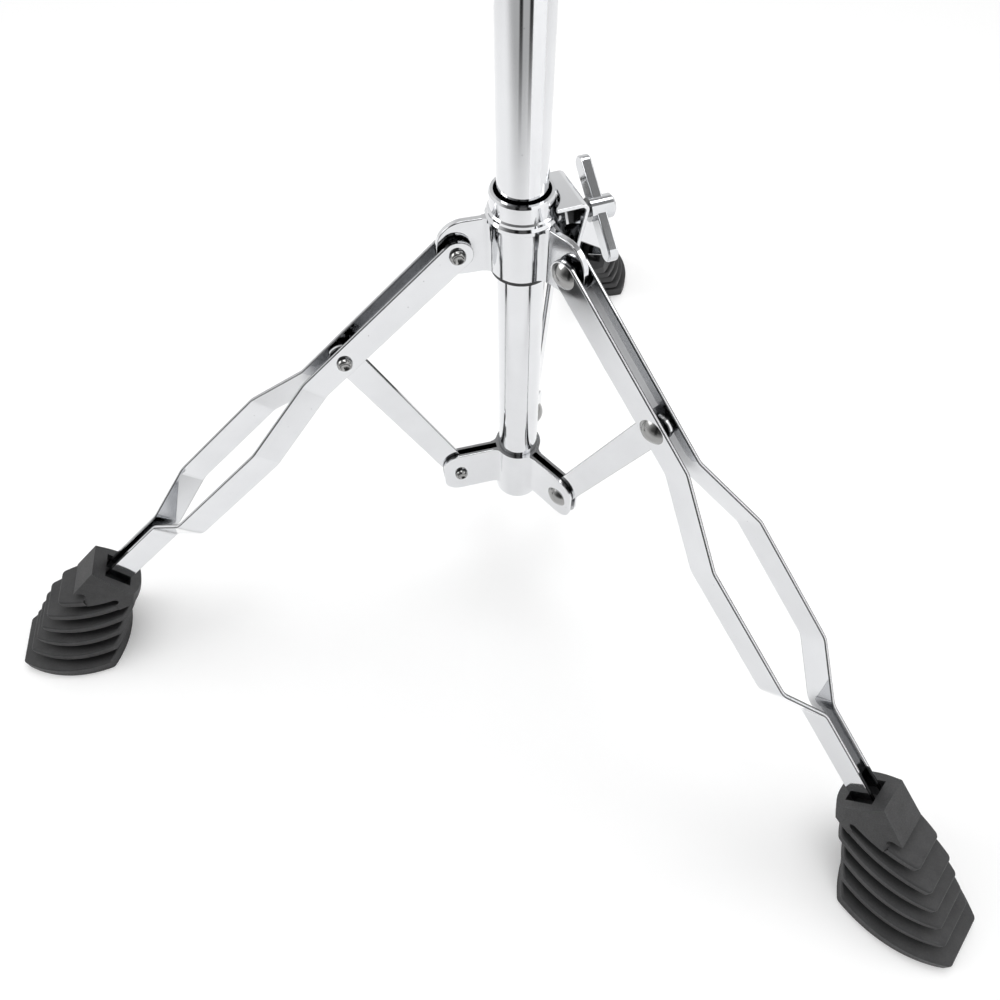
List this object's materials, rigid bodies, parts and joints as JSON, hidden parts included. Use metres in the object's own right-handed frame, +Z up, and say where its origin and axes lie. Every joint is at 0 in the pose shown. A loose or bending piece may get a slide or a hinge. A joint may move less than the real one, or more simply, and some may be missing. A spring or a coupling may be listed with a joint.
{
  "type": "snare drum stand",
  "caption": "Folding tripod stand of chromed tube and bowed strip legs on ribbed rubber feet, with a sliding hub, telescoping post, tilter and basket for a snare drum.",
  "frame": {"origin": "on the base tube's axis at floor level, under the tripod's centre", "axes": "+Z up along the tube; the rear leg points to +Y, the front pair to left and right of -Y"},
  "size_m": [0.5624, 0.4882, 0.608],
  "materials": {
    "chromed_steel": "polished",
    "black_rubber": "matte",
    "black_plastic": "satin"
  },
  "bodies": {
    "base": {"base_tube": "chromed_steel", "tube_end_plug": "black_plastic", "lower_bracket": "chromed_steel", "bracket_rivets": "chromed_steel", "tube_clamp": "chromed_steel", "clamp_nut": "chromed_steel", "clamp_bushing": "black_plastic"},
    "left_spreader": {"left_spreader": "chromed_steel"},
    "left_leg": {"left_leg_strip_a": "chromed_steel", "left_leg_strip_b": "chromed_steel", "left_leg_rivets": "chromed_steel", "left_foot": "black_rubber"},
    "right_spreader": {"right_spreader": "chromed_steel"},
    "right_leg": {"right_leg_strip_a": "chromed_steel", "right_leg_strip_b": "chromed_steel", "right_leg_rivets": "chromed_steel", "right_foot": "black_rubber"},
    "rear_spreader": {"rear_spreader": "chromed_steel"},
    "rear_leg": {"rear_leg_strip_a": "chromed_steel", "rear_leg_strip_b": "chromed_steel", "rear_leg_rivets": "chromed_steel", "rear_foot": "black_rubber"},
    "hub": {"hub_collar": "chromed_steel", "hub_ring": "chromed_steel", "hub_bushing": "black_plastic", "hub_lock_bracket": "chromed_steel", "hub_lock_nut": "chromed_steel"},
    "hub_wing_screw": {"hub_wing_screw": "chromed_steel"},
    "clamp_wing_bolt": {"clamp_wing_bolt": "chromed_steel"},
    "post": {"post_tube": "chromed_steel", "post_guide": "black_plastic", "tilter_base": "chromed_steel", "tilter_bolt": "chromed_steel"},
    "tilter_wing_nut": {"tilter_wing_nut": "chromed_steel"},
    "basket": {"tilter_head": "chromed_steel", "basket_stem": "chromed_steel", "basket_hub": "chromed_steel", "arm_pins": "chromed_steel"},
    "basket_nut": {"basket_nut": "chromed_steel"},
    "front_arm": {"front_arm": "chromed_steel", "front_arm_grip": "black_rubber"},
    "right_arm": {"right_arm": "chromed_steel", "right_arm_grip": "black_rubber"},
    "left_arm": {"left_arm": "chromed_steel", "left_arm_grip": "black_rubber"}
  },
  "joints": [
    {"name": "left_spreader_fold", "type": "hinge", "parent": "base", "child": "left_spreader", "pos_m": [-0.031, -0.0179, 0.0971], "axis": [-0.5, 0.866, 0], "range_deg": [-2.86, 22.18]},
    {"name": "left_leg_fold", "type": "hinge", "parent": "left_spreader", "child": "left_leg", "pos_m": [-0.07552, -0.0436, 0.2127], "axis": [-0.5, 0.866, 0], "range_deg": [-62.18, 7.86]},
    {"name": "right_spreader_fold", "type": "hinge", "parent": "base", "child": "right_spreader", "pos_m": [0.031, -0.0179, 0.0971], "axis": [-0.5, -0.866, 0], "range_deg": [-2.86, 22.18]},
    {"name": "right_leg_fold", "type": "hinge", "parent": "right_spreader", "child": "right_leg", "pos_m": [0.07552, -0.0436, 0.2127], "axis": [-0.5, -0.866, 0], "range_deg": [-62.18, 7.86]},
    {"name": "rear_spreader_fold", "type": "hinge", "parent": "base", "child": "rear_spreader", "pos_m": [0, 0.0358, 0.0971], "axis": [1, 0, 0], "range_deg": [-2.76, 22.08]},
    {"name": "rear_leg_fold", "type": "hinge", "parent": "rear_spreader", "child": "rear_leg", "pos_m": [0, 0.0872, 0.2127], "axis": [1, 0, 0], "range_deg": [-62.18, 7.86]},
    {"name": "hub_slide_turn", "type": "hinge", "parent": "rear_leg", "child": "hub", "pos_m": [0, 0.03, 0.267], "axis": [1, 0, 0], "range_deg": [-5.1, 40.1]},
    {"name": "hub_wing_screw_turn", "type": "hinge", "parent": "hub", "child": "hub_wing_screw", "pos_m": [0.02913, 0.02116, 0.2745], "axis": [0.809, 0.5878, 0], "continuous": true},
    {"name": "clamp_wing_bolt_turn", "type": "hinge", "parent": "base", "child": "clamp_wing_bolt", "pos_m": [-0.02252, 0.013, 0.412], "axis": [-0.5, -0.866, 0], "continuous": true},
    {"name": "post_height", "type": "slide", "parent": "base", "child": "post", "axis": [0, 0, 1], "range_m": [-0.02, 0.12]},
    {"name": "tilter_wing_nut_turn", "type": "hinge", "parent": "post", "child": "tilter_wing_nut", "pos_m": [0, 0.0135, 0.485], "axis": [0, 1, 0], "continuous": true},
    {"name": "basket_tilt", "type": "hinge", "parent": "post", "child": "basket", "pos_m": [0, 0, 0.485], "axis": [0, 1, 0], "range_deg": [-45, 45]},
    {"name": "basket_nut_turn", "type": "hinge", "parent": "basket", "child": "basket_nut", "pos_m": [0, 0, 0.52], "axis": [0, 0, 1], "continuous": true},
    {"name": "front_arm_fold", "type": "hinge", "parent": "basket", "child": "front_arm", "pos_m": [0, -0.015, 0.543], "axis": [-1, 0, 0], "range_deg": [0, 60]},
    {"name": "right_arm_fold", "type": "hinge", "parent": "basket", "child": "right_arm", "pos_m": [0.01299, 0.0075, 0.543], "axis": [0.5, -0.866, 0], "range_deg": [0, 60]},
    {"name": "left_arm_fold", "type": "hinge", "parent": "basket", "child": "left_arm", "pos_m": [-0.01299, 0.0075, 0.543], "axis": [0.5, 0.866, 0], "range_deg": [0, 60]}
  ],
  "couplings": [
    {"joint": "left_spreader_fold", "follows": "rear_spreader_fold", "ratio": 1},
    {"joint": "left_leg_fold", "follows": "rear_spreader_fold", "ratio": -2.8116},
    {"joint": "right_spreader_fold", "follows": "rear_spreader_fold", "ratio": 1},
    {"joint": "right_leg_fold", "follows": "rear_spreader_fold", "ratio": -2.8116},
    {"joint": "rear_leg_fold", "follows": "rear_spreader_fold", "ratio": -2.8116},
    {"joint": "hub_slide_turn", "follows": "rear_spreader_fold", "ratio": 1.8116},
    {"joint": "right_arm_fold", "follows": "front_arm_fold", "ratio": 1},
    {"joint": "left_arm_fold", "follows": "front_arm_fold", "ratio": 1}
  ]
}
